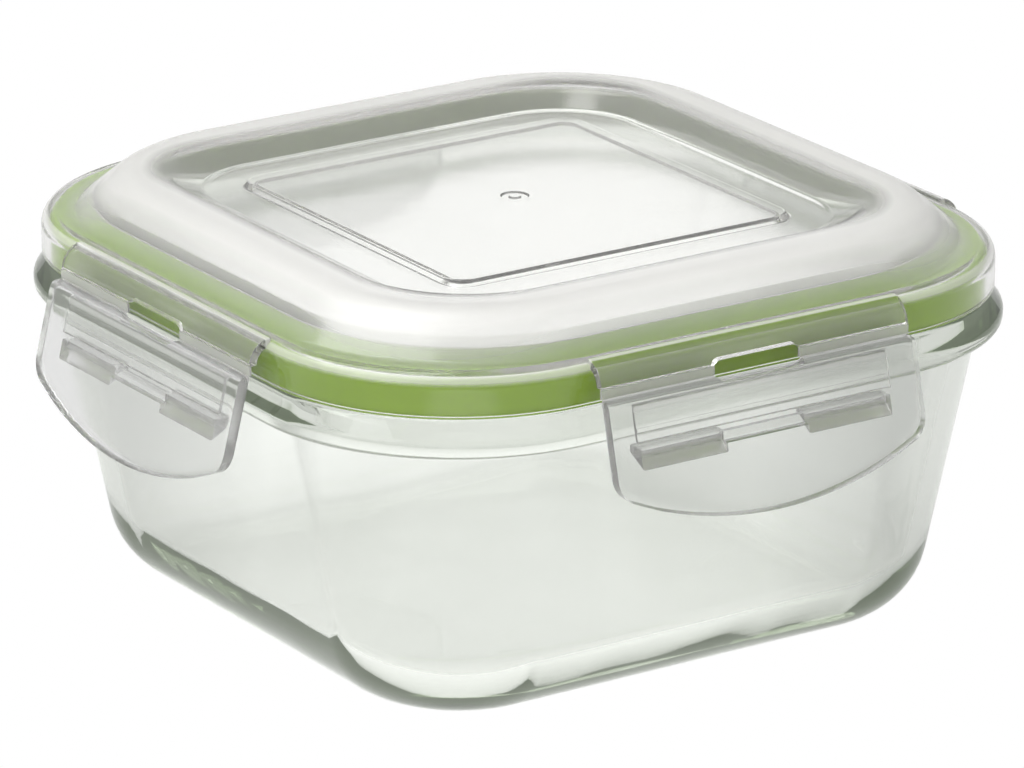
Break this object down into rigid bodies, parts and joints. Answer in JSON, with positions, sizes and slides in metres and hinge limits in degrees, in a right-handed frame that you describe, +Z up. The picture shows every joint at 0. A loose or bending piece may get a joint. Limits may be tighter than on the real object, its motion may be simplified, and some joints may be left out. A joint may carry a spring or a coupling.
{
  "type": "glass storage container",
  "caption": "Square clear-glass food container with a translucent plastic lid, a green silicone seal and hinged side latches that clip under the glass flange.",
  "frame": {"origin": "centre of the foot of the glass bowl, on the surface it stands on", "axes": "+Z up; front is -Y, right is +X; the latches are centred on the four sides"},
  "size_m": [0.1656, 0.1656, 0.0767],
  "materials": {
    "clear_glass": "pressed and fire-polished",
    "lid_plastic": "translucent, frosted on the rim and ridge, clear in the middle",
    "latch_plastic": "translucent, smooth",
    "green_silicone": "soft satin"
  },
  "bodies": {
    "bowl": {"glass_bowl": "clear_glass"},
    "lid": {"lid": "lid_plastic", "silicone_seal": "green_silicone", "hinge_film_front": "latch_plastic", "hinge_film_right": "latch_plastic", "hinge_film_back": "latch_plastic", "hinge_film_left": "latch_plastic"},
    "front_latch": {"latch_front": "latch_plastic"},
    "right_latch": {"latch_right": "latch_plastic"},
    "back_latch": {"latch_back": "latch_plastic"},
    "left_latch": {"latch_left": "latch_plastic"}
  },
  "joints": [
    {"name": "lid_lift", "type": "slide", "parent": "bowl", "child": "lid", "axis": [0, 0, 1], "range_m": [0, 0.08]},
    {"name": "front_latch_hinge", "type": "hinge", "parent": "lid", "child": "front_latch", "pos_m": [0, -0.0748, 0.0644], "axis": [-1, 0, 0], "range_deg": [0, 105], "deforming": ["hinge_film_front"]},
    {"name": "right_latch_hinge", "type": "hinge", "parent": "lid", "child": "right_latch", "pos_m": [0.0748, 0, 0.0644], "axis": [0, -1, 0], "range_deg": [0, 105], "deforming": ["hinge_film_right"]},
    {"name": "back_latch_hinge", "type": "hinge", "parent": "lid", "child": "back_latch", "pos_m": [0, 0.0748, 0.0644], "axis": [1, 0, 0], "range_deg": [0, 105], "deforming": ["hinge_film_back"]},
    {"name": "left_latch_hinge", "type": "hinge", "parent": "lid", "child": "left_latch", "pos_m": [-0.0748, 0, 0.0644], "axis": [0, 1, 0], "range_deg": [0, 105], "deforming": ["hinge_film_left"]}
  ]
}
